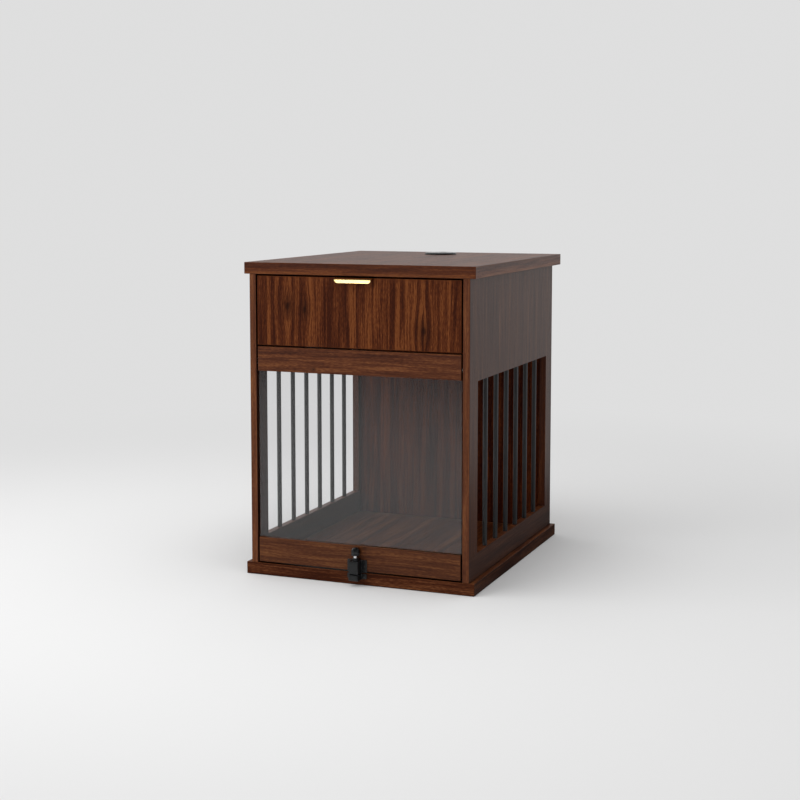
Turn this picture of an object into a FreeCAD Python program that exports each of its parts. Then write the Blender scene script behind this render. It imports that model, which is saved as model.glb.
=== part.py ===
import FreeCAD, Part
import os

# Dog crate end table: a drawer over a crate with a clear flip-up door and barred side windows.
# Millimetres. X is the width, -Y the front, +Z up. The origin is the middle of the base board's underside.

# Overall sizes
total_height = 680.0
board_width = 524.0            # top and base boards
top_depth = 632.0
top_thickness = 25.0
base_depth = 606.0
base_thickness = 26.0
side_overhang = 12.0           # boards stand out past the side panels
panel_thickness = 15.0         # sides, back, divider, drawer front and door rails
side_front_setback = 1.0
side_back_setback = 2.5
back_inset = 22.5              # back panel behind the side panels' back edges
edge_radius = 1.0              # broken edges of the visible boards
front_gap = 3.4                # gap round the drawer front and the door

# Side windows
window_header = 214.0          # side panel above the window
window_sill = 53.0             # side panel below the window
window_front_stile = 52.0
window_back_stile = 47.5
bar_count = 6
bar_diameter = 10.0
bar_socket_depth = 10.0

# Door
top_rail_height = 53.0
bottom_rail_height = 54.0
pane_thickness = 4.0
pane_groove_depth = 15.0
pivot_drop = 32.0              # door pivot below the top rail's top edge
pivot_pin_diameter = 5.0
pivot_pin_engagement = 10.0    # pin inside the rail's end
bushing_diameter = 9.0
bushing_length = 12.0
divider_clearance = 4.2        # divider panel above the door's top edge
door_travel = 380.0            # how far the raised door slides in

# Door tracks and carriages
track_height = 12.0
track_depth = 8.0
track_wall = 1.2
carriage_nose = 3.8            # carriage ahead of the pivot
carriage_tail = 74.0
carriage_end_play = 0.5
pin_end_gap = 1.5              # pivot pin's end from the track's web

# Drawer front and box
drawer_front_height = 148.4
box_side_thickness = 12.0
box_height = 100.0
box_length = 400.0
box_lift = 10.0                # box above the divider panel
box_bottom_thickness = 5.0
box_bottom_rise = 8.0
box_groove_depth = 6.0

# Telescopic slides
slide_width = 12.7
slide_height = 45.0
slide_wall = 1.2
slide_length = 396.0
slide_setback = 2.0            # slide behind the drawer front
slide_gap = 0.3
outer_flange_reach = 11.4
middle_flange_reach = 9.3
inner_flange_reach = 9.0

# Drawer pull
pull_width = 84.0
pull_offset = -4.5             # middle of the pull from the table's middle
pull_thickness = 1.5
pull_reach = 11.0              # lip in front of the drawer front
pull_slope = 4.0               # fall of the top flange towards the lip
pull_lip_height = 8.2
pull_corner_radius = 6.5
pull_back_leg = 20.0
pull_screw_spacing = 50.0

# Latch
latch_width = 22.0
latch_flange_width = 44.0
latch_flange_thickness = 2.5
latch_body_height = 28.0
latch_body_depth = 22.5
latch_body_lift = 1.0          # latch body above the base board's top
latch_chamfer = 1.5
latch_flange_inset = 1.0       # flange below the block's top and above its underside
latch_bolt_diameter = 8.0
latch_bolt_axis = 10.5         # bolt axis in front of the door's face
latch_boss_diameter = 13.0
latch_boss_height = 4.5
keeper_height = 12.5
keeper_drop = 0.6              # keeper's top below the base board's top
knob_diameter = 18.0
knob_collar_height = 4.0
knob_groove_height = 1.0
knob_head_height = 11.5
knob_rise = 6.0                # bright bolt that shows between boss and knob
knob_groove_depth = 1.0
bolt_tip_chamfer = 0.8
knob_shoulder_height = 5.0     # straight part of the knob's head, under its dome
knob_bolt_engagement = 8.0     # bolt inside the knob
bolt_tip_lift = 0.6            # raised bolt's tip above the base board's top
keeper_floor = 2.0             # keeper's solid bottom under its pocket
keeper_play = 0.8              # round the bolt in the keeper's square pocket
latch_screw_spacing = 33.0

# Cable grommet
grommet_back_distance = 123.0  # grommet's axis from the top board's back edge
grommet_flange_diameter = 75.0
grommet_flange_height = 4.5
grommet_tube_diameter = 60.0
grommet_wall = 2.0
grommet_flange_round = 2.0
grommet_ledge_reach = 3.0      # ledge that carries the cap
grommet_ledge_thickness = 2.0
cap_thickness = 3.0
cap_edge_round = 0.6
cap_notch_width = 16.0
cap_notch_length = 14.0
cable_hole_diameter = 50.0     # in the back panel
cable_hole_drop = 65.0         # hole's middle below the top board's underside

# Joinery
dowel_diameter = 8.0
dowel_length = 30.0
cam_diameter = 15.0
cam_depth = 12.0
cam_distance = 34.0            # cam axis from the joint
cam_bolt_diameter = 6.0
cam_bolt_thread = 11.0
cam_bolt_hole = 8.0
cam_bolt_neck = 0.4            # shank thinner than the bolt's head
cam_bolt_head = 4.0
cam_slot_length = 8.0
cam_slot_width = 1.5
cam_slot_depth = 1.5
dowel_in_side = 9.0            # dowel's depth in a side panel's inner face
joint_end_inset = 60.0         # fastenings from a panel's end
fastener_clearance = 0.1
running_clearance = 0.05
fit_clearance = 0.3

# Countersunk screws: diameter, length, head diameter
track_screw = (3.0, 6.0, 5.5)
slide_screw = (3.5, 10.5, 6.5)
latch_screw = (3.0, 12.0, 5.5)
pull_screw = (3.0, 9.0, 5.5)
pane_screw = (3.0, 11.0, 5.5)
box_screw = (4.0, 38.0, 8.0)
front_screw = (4.0, 22.0, 8.0)
panel_screw = (7.0, 50.0, 10.0)
screw_tip = 0.6                # tip's taper for each unit of the screw's radius

# Where screws sit, as shares of the piece that they hold
slide_screw_places = (0.1, 0.5, 0.9)     # along a slide
front_screw_spread = 0.7                 # from the middle to the drawer box's inner face
front_screw_heights = (0.3, 0.8)         # up the drawer box
pane_screw_spreads = (-0.8, -0.3, 0.3, 0.8)  # from the door's middle to its end

# Levels and planes that follow from the sizes
front_y = -base_depth / 2
back_y = front_y + base_depth
top_back_y = front_y + top_depth
side_front_y = front_y + side_front_setback
side_back_y = back_y - side_back_setback
side_outer_x = board_width / 2 - side_overhang
side_inner_x = side_outer_x - panel_thickness
side_middle_x = side_outer_x - panel_thickness / 2
back_panel_back_y = side_back_y - back_inset
back_panel_front_y = back_panel_back_y - panel_thickness
back_panel_middle_y = back_panel_back_y - panel_thickness / 2
top_underside_z = total_height - top_thickness
cable_hole_z = top_underside_z - cable_hole_drop
window_top_z = top_underside_z - window_header
window_bottom_z = base_thickness + window_sill
window_height = window_top_z - window_bottom_z
window_front_y = side_front_y + window_front_stile
window_back_y = side_back_y - window_back_stile
front_half_width = side_inner_x - front_gap
front_back_y = side_front_y + panel_thickness
drawer_front_top_z = top_underside_z - front_gap
drawer_front_bottom_z = drawer_front_top_z - drawer_front_height
door_bottom_z = base_thickness + front_gap
door_top_z = drawer_front_bottom_z - front_gap
top_rail_bottom_z = door_top_z - top_rail_height
bottom_rail_top_z = door_bottom_z + bottom_rail_height
rail_middle_y = side_front_y + panel_thickness / 2
pivot_z = door_top_z - pivot_drop
divider_bottom_z = door_top_z + divider_clearance
divider_top_z = divider_bottom_z + panel_thickness
divider_middle_z = divider_bottom_z + panel_thickness / 2
divider_front_y = front_back_y + slide_gap
box_bottom_z = divider_top_z + box_lift
box_top_z = box_bottom_z + box_height
box_outer_x = side_inner_x - slide_width
box_inner_x = box_outer_x - box_side_thickness
box_back_y = front_back_y + box_length
slide_z = (box_bottom_z + box_top_z) / 2
slide_front_y = front_back_y + slide_setback
track_front_y = rail_middle_y - carriage_nose - carriage_end_play
track_back_y = rail_middle_y + carriage_tail + door_travel + carriage_end_play
grommet_y = top_back_y - grommet_back_distance
latch_axis_y = side_front_y - latch_bolt_axis
latch_bottom_z = base_thickness + latch_body_lift
latch_top_z = latch_bottom_z + latch_body_height
bolt_tip_z = base_thickness + bolt_tip_lift
boss_top_z = latch_top_z + latch_boss_height
knob_bottom_z = boss_top_z + knob_rise
keeper_top_z = base_thickness - keeper_drop
keeper_bottom_z = keeper_top_z - keeper_height
grommet_radius = grommet_tube_diameter / 2
grommet_top_z = total_height + grommet_flange_height
cap_bottom_z = grommet_top_z - cap_thickness
cap_radius = grommet_radius - fit_clearance
pin_end_x = side_inner_x + track_depth - track_wall - pin_end_gap


def box(x0, x1, y0, y1, z0, z1):
    return Part.makeBox(x1 - x0, y1 - y0, z1 - z0, FreeCAD.Vector(x0, y0, z0))


def rounded_box(x0, x1, y0, y1, z0, z1):
    """A board with its edges broken."""
    board = box(x0, x1, y0, y1, z0, z1)
    return board.makeFillet(edge_radius, board.Edges)


def box_between(corner, opposite):
    (x0, x1), (y0, y1), (z0, z1) = [sorted(pair) for pair in zip(corner, opposite)]
    return box(x0, x1, y0, y1, z0, z1)


def cylinder(radius, start, direction, length):
    return Part.makeCylinder(radius, length, FreeCAD.Vector(*start), FreeCAD.Vector(*direction))


def mirrored(shape):
    """The same piece on the other side of the table."""
    return shape.mirror(FreeCAD.Vector(0, 0, 0), FreeCAD.Vector(1, 0, 0))


def placed(shape, start, direction):
    """A shape drawn along -Z from the origin, turned so that -Z lies along direction."""
    turned = shape.copy()
    turn = FreeCAD.Rotation(FreeCAD.Vector(0, 0, -1), FreeCAD.Vector(*direction))
    turned.Placement = FreeCAD.Placement(FreeCAD.Vector(*start), turn)
    return turned


def countersunk(diameter, length, head_diameter, growth=0.0):
    """A countersunk screw whose head is flush with z = 0; growth widens it into its own hole."""
    radius = diameter / 2 + growth
    head_radius = head_diameter / 2 + growth
    tip = screw_tip * radius
    profile = [
        (0, growth), (head_radius, growth), (head_radius, 0), (radius, radius - head_radius),
        (radius, tip - length - growth), (radius - tip, -length - growth), (0, -length - growth),
    ]
    points = [FreeCAD.Vector(x, 0, z) for x, z in profile]
    face = Part.Face(Part.makePolygon(points + points[:1]))
    return face.revolve(FreeCAD.Vector(0, 0, 0), FreeCAD.Vector(0, 0, 1), 360)


def screw_set(places, direction, size):
    """Screws and the holes that they need, as two lists."""
    screws = [placed(countersunk(*size), place, direction) for place in places]
    holes = [placed(countersunk(*size, growth=fastener_clearance), place, direction) for place in places]
    return screws, holes


# Joinery places: one list for each kind of fastening

def dowel_places():
    """Start point and direction of every wooden dowel."""
    places = []
    half = dowel_length / 2
    for side in (-1, 1):
        for y in (side_front_y + 1.5 * joint_end_inset, side_back_y - 1.5 * joint_end_inset):
            places.append(((side * side_middle_x, y, base_thickness - half), (0, 0, 1)))
            places.append(((side * side_middle_x, y, top_underside_z - half), (0, 0, 1)))
        for y in (divider_front_y + 0.5 * joint_end_inset, back_panel_front_y - 0.5 * joint_end_inset):
            places.append(((side * (side_inner_x + dowel_in_side), y, divider_middle_z), (-side, 0, 0)))
        for z in (base_thickness + 2 * joint_end_inset, top_underside_z - 2 * joint_end_inset):
            places.append(((side * (side_inner_x + dowel_in_side), back_panel_middle_y, z), (-side, 0, 0)))
    return places


def cam_places():
    """Joint point, direction into the panel that holds the cam, and the cam's own direction."""
    places = []
    for side in (-1, 1):
        into = (-side, 0, 0)
        for y in (side_front_y + joint_end_inset, side_back_y - joint_end_inset):
            places.append(((side * side_middle_x, y, top_underside_z), (0, 0, -1), into))
        for y in (divider_front_y + joint_end_inset, back_panel_front_y - joint_end_inset):
            places.append(((side * side_inner_x, y, divider_middle_z), into, (0, 0, 1)))
        for z in (base_thickness + joint_end_inset, top_underside_z - joint_end_inset):
            places.append(((side * side_inner_x, back_panel_middle_y, z), into, (0, 1, 0)))
    return places


def panel_screw_places():
    side = [
        (x, y, 0)
        for x in (-side_middle_x, side_middle_x)
        for y in (side_front_y + joint_end_inset / 2, 0, side_back_y - joint_end_inset / 2)
    ]
    return side + [(x, back_panel_middle_y, 0) for x in (-side_inner_x / 2, side_inner_x / 2)]


def moved_along(point, direction, distance):
    return tuple(p + d * distance for p, d in zip(point, direction))


def dowels(growth=0.0):
    return [
        cylinder(dowel_diameter / 2 + growth, moved_along(start, way, -growth), way, dowel_length + 2 * growth)
        for start, way in dowel_places()
    ]


def cam_axis_start(joint, into, out):
    """Middle of the cam's inner end: cam_distance into the panel, cam_depth below its face."""
    middle = moved_along(joint, into, cam_distance)
    return moved_along(middle, out, panel_thickness / 2 - cam_depth)


def cam_bolt(joint, into):
    """A steel bolt screwed into one panel, with a neck and a head that the cam grips."""
    radius = cam_bolt_diameter / 2
    shank_length = cam_distance - cam_bolt_head
    thread = cylinder(radius, moved_along(joint, into, -cam_bolt_thread), into, cam_bolt_thread)
    shank = cylinder(radius - cam_bolt_neck, joint, into, shank_length)
    head = cylinder(radius, moved_along(joint, into, shank_length), into, cam_bolt_head)
    return thread.fuse([shank, head]).removeSplitter()


def cross(a, b):
    return (a[1] * b[2] - a[2] * b[1], a[2] * b[0] - a[0] * b[2], a[0] * b[1] - a[1] * b[0])


def cam_lock(joint, into, out):
    """A round cam with a slot for the bolt's head and a cross slot for the screwdriver."""
    start = cam_axis_start(joint, into, out)
    cam = cylinder(cam_diameter / 2, start, out, cam_depth)
    bolt_slot = cylinder(cam_bolt_hole / 2, moved_along(joint, into, cam_distance - cam_diameter), into,
                         cam_diameter + 1)
    slot_floor = moved_along(start, out, cam_depth - cam_slot_depth)
    cuts = [bolt_slot]
    for along in (into, cross(into, out)):
        across = cross(along, out)
        low = moved_along(moved_along(slot_floor, along, -cam_slot_length / 2), across, -cam_slot_width / 2)
        high = moved_along(moved_along(slot_floor, along, cam_slot_length / 2), across, cam_slot_width / 2)
        cuts.append(box_between(low, moved_along(high, out, cam_slot_depth + 1)))
    return cam.cut(cuts)


def cam_holes():
    """What the cams and their bolts need cut from the panels."""
    holes = []
    for joint, into, out in cam_places():
        start = moved_along(cam_axis_start(joint, into, out), out, -fastener_clearance)
        holes.append(cylinder(cam_diameter / 2 + fastener_clearance, start, out, cam_depth + 2))
        holes.append(cylinder(cam_bolt_hole / 2, joint, into, cam_distance))
        holes.append(cylinder(cam_bolt_diameter / 2 + fastener_clearance,
                              moved_along(joint, into, -cam_bolt_thread - fastener_clearance), into,
                              cam_bolt_thread + fastener_clearance))
    return holes


def joinery_holes():
    screws, screw_holes = screw_set(panel_screw_places(), (0, 0, 1), panel_screw)
    return dowels(fastener_clearance) + cam_holes() + screw_holes


# Cabinet

def top_board():
    board = rounded_box(-board_width / 2, board_width / 2, front_y, top_back_y, top_underside_z, total_height)
    hole = cylinder(grommet_tube_diameter / 2 + fit_clearance, (0, grommet_y, top_underside_z - 1), (0, 0, 1),
                    top_thickness + 2)
    return board.cut([hole] + joinery_holes())


def base_board():
    board = rounded_box(-board_width / 2, board_width / 2, front_y, back_y, 0, base_thickness)
    return board.cut(joinery_holes() + keeper_screw_set()[1])


def bar_ys():
    pitch = (window_back_y - window_front_y) / (bar_count + 1)
    return [window_front_y + pitch * (i + 1) for i in range(bar_count)]


def side_bars():
    """Six round bars standing in the right side panel's window."""
    start_z = window_bottom_z - bar_socket_depth + fastener_clearance
    length = window_height + 2 * (bar_socket_depth - fastener_clearance)
    return [cylinder(bar_diameter / 2, (side_middle_x, y, start_z), (0, 0, 1), length) for y in bar_ys()]


def bar_sockets():
    length = window_height + 2 * bar_socket_depth
    return [
        cylinder(bar_diameter / 2 + fastener_clearance, (side_middle_x, y, window_bottom_z - bar_socket_depth),
                 (0, 0, 1), length)
        for y in bar_ys()
    ]


def window_cutter():
    return box(side_inner_x - 1, side_outer_x + 1, window_front_y, window_back_y, window_bottom_z, window_top_z)


def track_groove():
    """Where the door track lies in the right side panel."""
    half = track_height / 2 + fastener_clearance
    return box(side_inner_x - 1, side_inner_x + track_depth + fastener_clearance,
               track_front_y - fastener_clearance, track_back_y + fastener_clearance,
               pivot_z - half, pivot_z + half)


def side_panel():
    panel = rounded_box(side_inner_x, side_outer_x, side_front_y, side_back_y, base_thickness, top_underside_z)
    cuts = [window_cutter(), track_groove()] + bar_sockets() + joinery_holes()
    return panel.cut(cuts + slide_outer_screw_set()[1] + track_screw_set()[1])


def back_panel():
    panel = box(-side_inner_x, side_inner_x, back_panel_front_y, back_panel_back_y, base_thickness,
                top_underside_z)
    hole = cylinder(cable_hole_diameter / 2, (0, back_panel_front_y - 1, cable_hole_z), (0, 1, 0),
                    panel_thickness + 2)
    return panel.cut([hole] + joinery_holes())


def divider_panel():
    panel = box(-side_inner_x, side_inner_x, divider_front_y, back_panel_front_y, divider_bottom_z,
                divider_top_z)
    return panel.cut(joinery_holes())


def door_track():
    """An aluminium channel let into the right side panel, open towards the crate."""
    half = track_height / 2
    outer = box(side_inner_x, side_inner_x + track_depth, track_front_y, track_back_y,
                pivot_z - half, pivot_z + half)
    inner = box(side_inner_x - 1, side_inner_x + track_depth - track_wall, track_front_y - 1, track_back_y + 1,
                pivot_z - half + track_wall, pivot_z + half - track_wall)
    return outer.cut([inner] + track_screw_set()[1])


def track_screw_set():
    middle = (track_front_y + track_back_y) / 2
    places = [
        (side_inner_x + track_depth - track_wall, y, pivot_z)
        for y in (track_front_y + joint_end_inset / 2, middle, track_back_y - joint_end_inset / 2)
    ]
    return screw_set(places, (1, 0, 0), track_screw)


# Telescopic slides: three channels, one inside the other

def channel(web_x, way, reach, half_height):
    """A right-hand slide member: web from web_x, flanges reaching along way."""
    tip = web_x + way * reach
    outer = box(min(web_x, tip), max(web_x, tip), slide_front_y, slide_front_y + slide_length,
                slide_z - half_height, slide_z + half_height)
    hollow_start = web_x + way * slide_wall
    hollow_end = tip + way
    inner = box(min(hollow_start, hollow_end), max(hollow_start, hollow_end), slide_front_y - 1,
                slide_front_y + slide_length + 1, slide_z - half_height + slide_wall,
                slide_z + half_height - slide_wall)
    return outer.cut(inner)


def slide_outer():
    member = channel(side_inner_x, -1, outer_flange_reach, slide_height / 2)
    return member.cut(slide_outer_screw_set()[1])


def slide_middle():
    half = slide_height / 2 - slide_wall - slide_gap
    return channel(side_inner_x - slide_wall - slide_gap, -1, middle_flange_reach, half)


def slide_inner():
    half = slide_height / 2 - 2 * (slide_wall + slide_gap)
    return channel(box_outer_x, 1, inner_flange_reach, half).cut(slide_inner_screw_set()[1])


def slide_screw_ys():
    return [slide_front_y + slide_length * share for share in slide_screw_places]


def slide_outer_screw_set():
    places = [(side_inner_x - slide_wall, y, slide_z) for y in slide_screw_ys()]
    return screw_set(places, (1, 0, 0), slide_screw)


def slide_inner_screw_set():
    places = [(box_outer_x + slide_wall, y, slide_z) for y in slide_screw_ys()]
    return screw_set(places, (-1, 0, 0), slide_screw)


# Drawer

def drawer_front():
    board = rounded_box(-front_half_width, front_half_width, side_front_y, front_back_y,
                        drawer_front_bottom_z, drawer_front_top_z)
    return board.cut(pull_screw_set()[1] + front_screw_set()[1])


def pull_profile():
    """Side view of the pull: back leg, flat flange, sloping flange and lip, as points in Y and Z."""
    t = pull_thickness
    top = drawer_front_top_z + t
    lip_top = top - pull_slope
    lip_y = side_front_y - pull_reach
    lip_bottom = lip_top - pull_lip_height
    return [
        (front_back_y + t, drawer_front_top_z - pull_back_leg), (front_back_y + t, top), (side_front_y, top),
        (lip_y - t, lip_top), (lip_y - t, lip_bottom), (lip_y, lip_bottom), (lip_y, lip_top - t),
        (side_front_y, top - t), (front_back_y, top - t), (front_back_y, drawer_front_top_z - pull_back_leg),
    ]


def drawer_pull():
    low_x = pull_offset - pull_width / 2
    points = [FreeCAD.Vector(low_x, y, z) for y, z in pull_profile()]
    strip = Part.Face(Part.makePolygon(points + points[:1])).extrude(FreeCAD.Vector(pull_width, 0, 0))
    lip_bottom = min(p[1] for p in pull_profile()[3:7])
    corners = [
        edge for edge in strip.Edges
        if edge.BoundBox.YLength > pull_thickness / 2 and edge.BoundBox.XLength < 1e-6
        and edge.BoundBox.ZLength < 1e-6 and abs(edge.BoundBox.ZMin - lip_bottom) < 1e-6
    ]
    strip = strip.makeFillet(pull_corner_radius, corners)
    return strip.cut(pull_screw_set()[1])


def pull_screw_set():
    z = drawer_front_top_z - pull_back_leg / 2
    places = [
        (pull_offset + side * pull_screw_spacing / 2, front_back_y + pull_thickness, z) for side in (-1, 1)
    ]
    return screw_set(places, (0, -1, 0), pull_screw)


def bottom_groove():
    """The space that the drawer box's bottom slides into."""
    play = fastener_clearance
    reach = box_groove_depth
    low = box_bottom_z + box_bottom_rise
    return box(-box_inner_x - reach, box_inner_x + reach, front_back_y + box_side_thickness - reach,
               box_back_y - box_side_thickness + reach, low - play, low + box_bottom_thickness + play)


def drawer_side():
    board = box(box_inner_x, box_outer_x, front_back_y, box_back_y, box_bottom_z, box_top_z)
    return board.cut([bottom_groove()] + box_screw_set()[1] + slide_inner_screw_set()[1])


def drawer_subfront():
    board = box(-box_inner_x, box_inner_x, front_back_y, front_back_y + box_side_thickness, box_bottom_z,
                box_top_z)
    return board.cut([bottom_groove()] + box_screw_set()[1] + front_screw_set()[1])


def drawer_back():
    board = box(-box_inner_x, box_inner_x, box_back_y - box_side_thickness, box_back_y, box_bottom_z,
                box_top_z)
    return board.cut([bottom_groove()] + box_screw_set()[1])


def drawer_bottom():
    reach = box_groove_depth - fit_clearance
    low = box_bottom_z + box_bottom_rise
    return box(-box_inner_x - reach, box_inner_x + reach, front_back_y + box_side_thickness - reach,
               box_back_y - box_side_thickness + reach, low, low + box_bottom_thickness)


def both_sides(maker):
    """A right-hand set of screws and holes, and its mirror image."""
    screws, holes = maker()
    return screws + [mirrored(s) for s in screws], holes + [mirrored(h) for h in holes]


def box_screw_set():
    """Screws through the box sides into the sub-front and the back."""
    inset = (box_height - slide_height) / 4
    places = [
        (side * box_outer_x, y, z)
        for side in (-1, 1)
        for y in (front_back_y + box_side_thickness / 2, box_back_y - box_side_thickness / 2)
        for z in (box_bottom_z + box_height / 4, box_top_z - inset)
    ]
    screws, holes = [], []
    for place in places:
        way = (-1 if place[0] > 0 else 1, 0, 0)
        pair = screw_set([place], way, box_screw)
        screws += pair[0]
        holes += pair[1]
    return screws, holes


def front_screw_set():
    """Screws from inside the box through the sub-front into the drawer front."""
    places = [
        (side * box_inner_x * front_screw_spread, front_back_y + box_side_thickness,
         box_bottom_z + box_height * share)
        for side in (-1, 1)
        for share in front_screw_heights
    ]
    return screw_set(places, (0, -1, 0), front_screw)


# Door

def pane_groove():
    """The groove that holds the pane, cut in both rails."""
    half = pane_thickness / 2 + fastener_clearance
    return box(-front_half_width - 1, front_half_width + 1, rail_middle_y - half, rail_middle_y + half,
               bottom_rail_top_z - pane_groove_depth, top_rail_bottom_z + pane_groove_depth)


def pane():
    half = pane_thickness / 2
    sheet = box(-front_half_width, front_half_width, rail_middle_y - half, rail_middle_y + half,
                bottom_rail_top_z - pane_groove_depth + fastener_clearance,
                top_rail_bottom_z + pane_groove_depth - fastener_clearance)
    return sheet.cut(pane_screw_set()[1])


def pane_screw_set():
    places = [
        (spread * front_half_width, front_back_y, z)
        for spread in pane_screw_spreads
        for z in (bottom_rail_top_z - pane_groove_depth / 2, top_rail_bottom_z + pane_groove_depth / 2)
    ]
    return screw_set(places, (0, -1, 0), pane_screw)


def door_top_rail():
    rail = rounded_box(-front_half_width, front_half_width, side_front_y, front_back_y, top_rail_bottom_z,
                       door_top_z)
    socket = cylinder(bushing_diameter / 2 + running_clearance,
                      (front_half_width - bushing_length - fastener_clearance, rail_middle_y, pivot_z),
                      (1, 0, 0), bushing_length + 1)
    return rail.cut([pane_groove(), socket, mirrored(socket)] + pane_screw_set()[1])


def door_bottom_rail():
    rail = rounded_box(-front_half_width, front_half_width, side_front_y, front_back_y, door_bottom_z,
                       bottom_rail_top_z)
    return rail.cut([pane_groove()] + pane_screw_set()[1] + latch_screw_set()[1])


def pivot_bushing():
    """A bushing in the top rail's right end."""
    start = (front_half_width - bushing_length, rail_middle_y, pivot_z)
    bush = cylinder(bushing_diameter / 2, start, (1, 0, 0), bushing_length)
    bore = cylinder(pivot_pin_diameter / 2 + running_clearance, moved_along(start, (1, 0, 0), -1), (1, 0, 0),
                    bushing_length + 2)
    return bush.cut(bore)


def pivot_pin():
    start_x = front_half_width - pivot_pin_engagement
    return cylinder(pivot_pin_diameter / 2, (start_x, rail_middle_y, pivot_z), (1, 0, 0),
                    pin_end_x - start_x)


def door_carriage():
    """A glider that runs in the right track and carries the door's pivot pin."""
    half = track_height / 2 - track_wall - fit_clearance
    block = box(side_inner_x + fit_clearance, side_inner_x + track_depth - track_wall - fit_clearance,
                rail_middle_y - carriage_nose, rail_middle_y + carriage_tail, pivot_z - half, pivot_z + half)
    hole = cylinder(pivot_pin_diameter / 2 + running_clearance, (side_inner_x - 1, rail_middle_y, pivot_z),
                    (1, 0, 0), pin_end_x - side_inner_x + 1 + running_clearance)
    return block.cut(hole)


# Latch

def latch_block(back_y, low_z, high_z):
    """A block with a screw flange, chamfered round its front top edge."""
    front = back_y - latch_body_depth
    block = box(-latch_width / 2, latch_width / 2, front, back_y, low_z, high_z)
    top_edges = [
        edge for edge in block.Edges
        if edge.BoundBox.ZMin > high_z - 1e-6 and edge.BoundBox.YMin < back_y - 1e-6
    ]
    block = block.makeChamfer(latch_chamfer, top_edges)
    flange = box(-latch_flange_width / 2, latch_flange_width / 2, back_y - latch_flange_thickness, back_y,
                 low_z + latch_flange_inset, high_z - latch_flange_inset)
    side_edges = [edge for edge in flange.Edges if edge.BoundBox.YLength > latch_flange_thickness / 2]
    flange = flange.makeFillet(edge_radius, side_edges)
    return block.fuse(flange).removeSplitter()


def latch_body():
    block = latch_block(side_front_y, latch_bottom_z, latch_top_z)
    boss = cylinder(latch_boss_diameter / 2, (0, latch_axis_y, latch_top_z - 1), (0, 0, 1),
                    latch_boss_height + 1)
    bore = cylinder(latch_bolt_diameter / 2 + running_clearance, (0, latch_axis_y, latch_bottom_z - 1),
                    (0, 0, 1), boss_top_z - latch_bottom_z + 2)
    return block.fuse(boss).removeSplitter().cut([bore] + latch_screw_set()[1])


def latch_screw_set():
    z = (latch_bottom_z + latch_top_z) / 2
    places = [
        (side * latch_screw_spacing / 2, side_front_y - latch_flange_thickness, z) for side in (-1, 1)
    ]
    return screw_set(places, (0, 1, 0), latch_screw)


def latch_keeper():
    block = latch_block(front_y, keeper_bottom_z, keeper_top_z)
    half = latch_bolt_diameter / 2 + keeper_play
    pocket = box(-half, half, latch_axis_y - half, latch_axis_y + half, keeper_bottom_z + keeper_floor,
                 keeper_top_z + 1)
    return block.cut([pocket] + keeper_screw_set()[1])


def keeper_screw_set():
    z = (keeper_bottom_z + keeper_top_z) / 2
    places = [(side * latch_screw_spacing / 2, front_y - latch_flange_thickness, z) for side in (-1, 1)]
    return screw_set(places, (0, 1, 0), latch_screw)


def latch_bolt():
    """The steel bolt, raised so that its tip clears the base board."""
    top = knob_bottom_z + knob_bolt_engagement
    bolt = cylinder(latch_bolt_diameter / 2, (0, latch_axis_y, bolt_tip_z), (0, 0, 1), top - bolt_tip_z)
    tip_edges = [edge for edge in bolt.Edges if edge.BoundBox.ZMax < bolt_tip_z + 1e-6]
    return bolt.makeChamfer(bolt_tip_chamfer, tip_edges)


def turned(points, axis_y):
    """A closed outline of radius and height points, turned round a vertical axis at axis_y."""
    corners = [FreeCAD.Vector(r, axis_y, z) for r, z in points]
    face = Part.Face(Part.makePolygon(corners + corners[:1]))
    return face.revolve(FreeCAD.Vector(0, axis_y, 0), FreeCAD.Vector(0, 0, 1), 360)


def latch_knob():
    """A collar, a groove and a head with a dome on it; the dome is a cap cut from a sphere."""
    radius = knob_diameter / 2
    neck = radius - knob_groove_depth
    collar_top = knob_bottom_z + knob_collar_height
    groove_top = collar_top + knob_groove_height
    shoulder = groove_top + knob_shoulder_height
    dome_height = knob_head_height - knob_shoulder_height
    sphere_radius = (radius ** 2 + dome_height ** 2) / (2 * dome_height)
    body = turned([
        (0, knob_bottom_z), (radius, knob_bottom_z), (radius, collar_top), (neck, collar_top),
        (neck, groove_top), (radius, groove_top), (radius, shoulder), (0, shoulder),
    ], latch_axis_y)
    sphere_middle = FreeCAD.Vector(0, latch_axis_y, shoulder + dome_height - sphere_radius)
    above_shoulder = cylinder(2 * radius, (0, latch_axis_y, shoulder), (0, 0, 1), 2 * radius)
    dome = Part.makeSphere(sphere_radius, sphere_middle).common(above_shoulder)
    bore = cylinder(latch_bolt_diameter / 2 + running_clearance, (0, latch_axis_y, knob_bottom_z - 1),
                    (0, 0, 1), knob_bolt_engagement + 1 + running_clearance)
    return body.fuse(dome).removeSplitter().cut(bore)


# Cable grommet

def grommet_sleeve():
    """A flange on the top board, a tube through it and a ledge under the cap."""
    inner = grommet_radius - grommet_wall
    flange_radius = grommet_flange_diameter / 2
    ledge_radius = inner - grommet_ledge_reach
    ledge_top = cap_bottom_z - running_clearance
    ledge_bottom = ledge_top - grommet_ledge_thickness
    sleeve = turned([
        (inner, top_underside_z), (grommet_radius, top_underside_z), (grommet_radius, total_height),
        (flange_radius, total_height), (flange_radius, grommet_top_z), (grommet_radius, grommet_top_z),
        (grommet_radius, ledge_top), (ledge_radius, ledge_top), (ledge_radius, ledge_bottom),
        (inner, ledge_bottom),
    ], grommet_y)
    rim = [
        edge for edge in sleeve.Edges
        if edge.BoundBox.ZMin > grommet_top_z - 1e-6 and edge.BoundBox.XMax > flange_radius - 1e-6
        and edge.Length > flange_radius
    ]
    return sleeve.makeFillet(grommet_flange_round, rim)


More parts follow.
